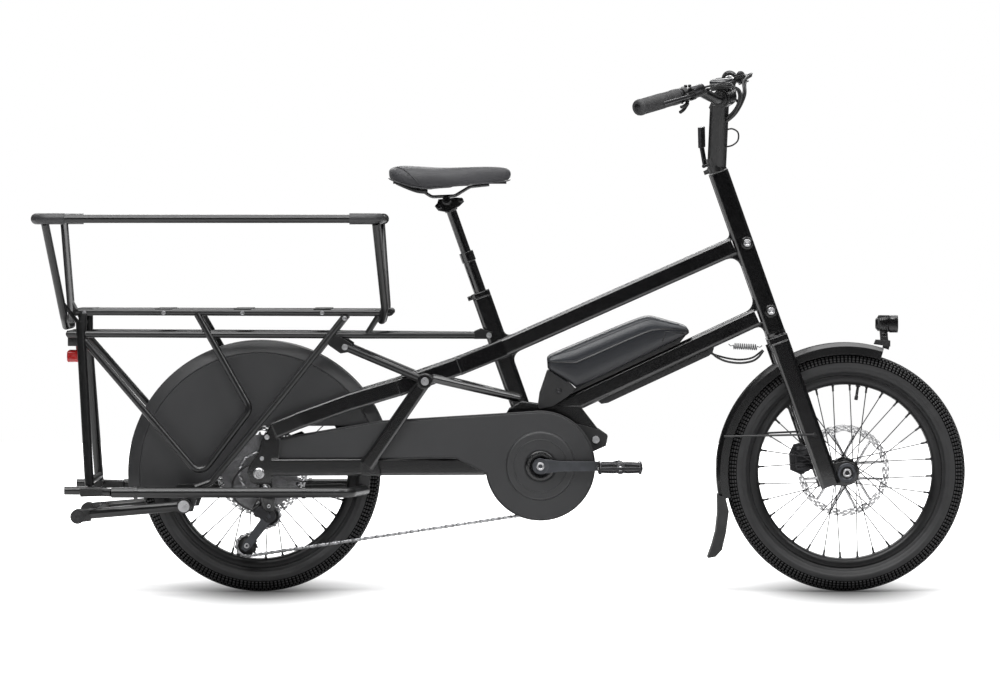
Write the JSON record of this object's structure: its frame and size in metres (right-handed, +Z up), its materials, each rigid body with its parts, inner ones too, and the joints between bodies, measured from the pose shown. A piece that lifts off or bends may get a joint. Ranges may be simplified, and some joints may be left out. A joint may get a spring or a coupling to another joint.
{
  "type": "cargo bicycle",
  "caption": "Long-tail electric cargo bicycle with a mid motor, enclosed rear wheel, tubular passenger rack with guard rail and footrests, folding centre stand and twisting stem.",
  "frame": {"origin": "on the ground, midway along the bicycle's length, on the wheels' centre plane", "axes": "+X is the direction of travel, +Y is the rider's left, +Z is up"},
  "size_m": [2.012, 0.537, 1.1417],
  "materials": {
    "gloss_black_paint": "gloss black enamel",
    "satin_black_paint": "satin black powder coat",
    "dark_plastic": "moulded plastic, fine grain",
    "battery_shell": "moulded plastic, satin",
    "tyre_rubber": "small-block tread",
    "black_rubber": "moulded rubber",
    "guard_plastic": "thin moulded plastic",
    "saddle_cover": "synthetic cover, matte grain",
    "bare_steel": "ground steel",
    "black_alloy": "black anodised",
    "red_lens": "clear red moulding"
  },
  "bodies": {
    "chassis": {"frame": "gloss_black_paint", "head_bearings": "bare_steel", "seat_clamp": "satin_black_paint", "battery_dock": "dark_plastic", "drive_motor": "dark_plastic", "chain_case": "dark_plastic", "chainring_cover": "dark_plastic", "cable_cover": "dark_plastic", "rear_mudguard": "dark_plastic", "wheel_covers": "dark_plastic", "rack_frame": "satin_black_paint", "rack_deck": "satin_black_paint", "footrests": "satin_black_paint", "guard_rail": "satin_black_paint", "guard_joints": "dark_plastic", "fasteners": "bare_steel", "tail_light": "red_lens", "rear_caliper": "black_alloy", "steering_spring": "bare_steel", "derailleur_body": "black_alloy", "frame_cables": "black_rubber", "rear_axle": "bare_steel", "chain": "bare_steel"},
    "battery": {"battery": "battery_shell"},
    "stand": {"stand_legs": "satin_black_paint", "stand_feet": "black_rubber"},
    "seatpost_outer": {"seatpost_outer": "satin_black_paint"},
    "seatpost_inner": {"seatpost_inner": "satin_black_paint", "saddle_shell": "dark_plastic", "saddle_pad": "saddle_cover"},
    "fork": {"fork": "gloss_black_paint", "front_mudguard": "guard_plastic", "front_stays": "satin_black_paint", "mud_flap": "black_rubber", "headlight": "dark_plastic", "front_caliper": "black_alloy", "front_axle": "bare_steel"},
    "stem": {"stem_post": "satin_black_paint", "handlebar": "satin_black_paint", "grips": "black_rubber", "controls": "dark_plastic"},
    "stem_lever": {"stem_lever": "satin_black_paint"},
    "brake_lever_right": {"brake_lever_right": "satin_black_paint"},
    "brake_lever_left": {"brake_lever_left": "satin_black_paint"},
    "front_wheel": {"front_tyre": "tyre_rubber", "front_rim": "satin_black_paint", "front_spokes": "satin_black_paint", "front_hub": "satin_black_paint", "front_rotor": "bare_steel"},
    "rear_wheel": {"rear_tyre": "tyre_rubber", "rear_rim": "satin_black_paint", "rear_spokes": "satin_black_paint", "rear_hub": "satin_black_paint", "rear_rotor": "bare_steel"},
    "cassette": {"cassette": "bare_steel"},
    "crank": {"crank_arms": "black_alloy", "chainring": "black_alloy"},
    "pedal_right": {"pedal_right": "guard_plastic"},
    "pedal_left": {"pedal_left": "guard_plastic"},
    "derailleur_cage": {"derailleur_cage": "black_alloy"}
  },
  "joints": [
    {"name": "steering", "type": "hinge", "parent": "chassis", "child": "fork", "pos_m": [0.4681, 0, 0.9126], "axis": [-0.3346, 0, 0.9423], "range_deg": [-60, 60], "deforming": ["steering_spring", "frame_cables"]},
    {"name": "handlebar_twist", "type": "hinge", "parent": "fork", "child": "stem", "pos_m": [0.4681, 0, 0.9126], "axis": [-0.3346, 0, 0.9423], "range_deg": [-66, 24]},
    {"name": "stem_lever", "type": "hinge", "parent": "stem", "child": "stem_lever", "pos_m": [0.44008, 0.00976, 0.926], "axis": [-0.3833, -0.9135, -0.1361], "range_deg": [0, 100]},
    {"name": "brake_lever_right", "type": "hinge", "parent": "stem", "child": "brake_lever_right", "pos_m": [0.40577, -0.17872, 1.07383], "axis": [0.3346, 0, -0.9423], "range_deg": [0, 11]},
    {"name": "brake_lever_left", "type": "hinge", "parent": "stem", "child": "brake_lever_left", "pos_m": [0.53241, 0.12314, 1.1188], "axis": [-0.3346, 0, 0.9423], "range_deg": [0, 11]},
    {"name": "front_wheel", "type": "hinge", "parent": "fork", "child": "front_wheel", "pos_m": [0.745, 0, 0.261], "axis": [0, 1, 0], "continuous": true},
    {"name": "rear_wheel", "type": "hinge", "parent": "chassis", "child": "rear_wheel", "pos_m": [-0.5267, 0, 0.261], "axis": [0, 1, 0], "continuous": true},
    {"name": "crank", "type": "hinge", "parent": "chassis", "child": "crank", "pos_m": [0.0812, 0, 0.2767], "axis": [0, 1, 0], "continuous": true},
    {"name": "cassette", "type": "hinge", "parent": "chassis", "child": "cassette", "pos_m": [-0.5267, 0, 0.261], "axis": [0, 1, 0], "continuous": true},
    {"name": "pedal_right", "type": "hinge", "parent": "crank", "child": "pedal_right", "pos_m": [0.2512, -0.15, 0.2767], "axis": [0, 1, 0], "continuous": true},
    {"name": "pedal_left", "type": "hinge", "parent": "crank", "child": "pedal_left", "pos_m": [-0.0888, 0.15, 0.2767], "axis": [0, 1, 0], "continuous": true},
    {"name": "seatpost_lower", "type": "slide", "parent": "chassis", "child": "seatpost_outer", "axis": [-0.3338, 0, 0.9426], "range_m": [-0.06, 0.05]},
    {"name": "seatpost_upper", "type": "slide", "parent": "seatpost_outer", "child": "seatpost_inner", "axis": [-0.3338, 0, 0.9426], "range_m": [-0.09, 0.03]},
    {"name": "stand", "type": "hinge", "parent": "chassis", "child": "stand", "pos_m": [-0.6854, 0, 0.193], "axis": [0, -1, 0], "range_deg": [0, 100]},
    {"name": "derailleur_cage", "type": "hinge", "parent": "chassis", "child": "derailleur_cage", "pos_m": [-0.505, -0.06, 0.168], "axis": [0, 1, 0], "range_deg": [-30, 15], "deforming": ["chain"]},
    {"name": "battery_release", "type": "slide", "parent": "chassis", "child": "battery", "axis": [-0.4223, 0, 0.9065], "range_m": [0, 0.03]}
  ],
  "couplings": [
    {"joint": "cassette", "follows": "crank", "ratio": 2.381}
  ]
}
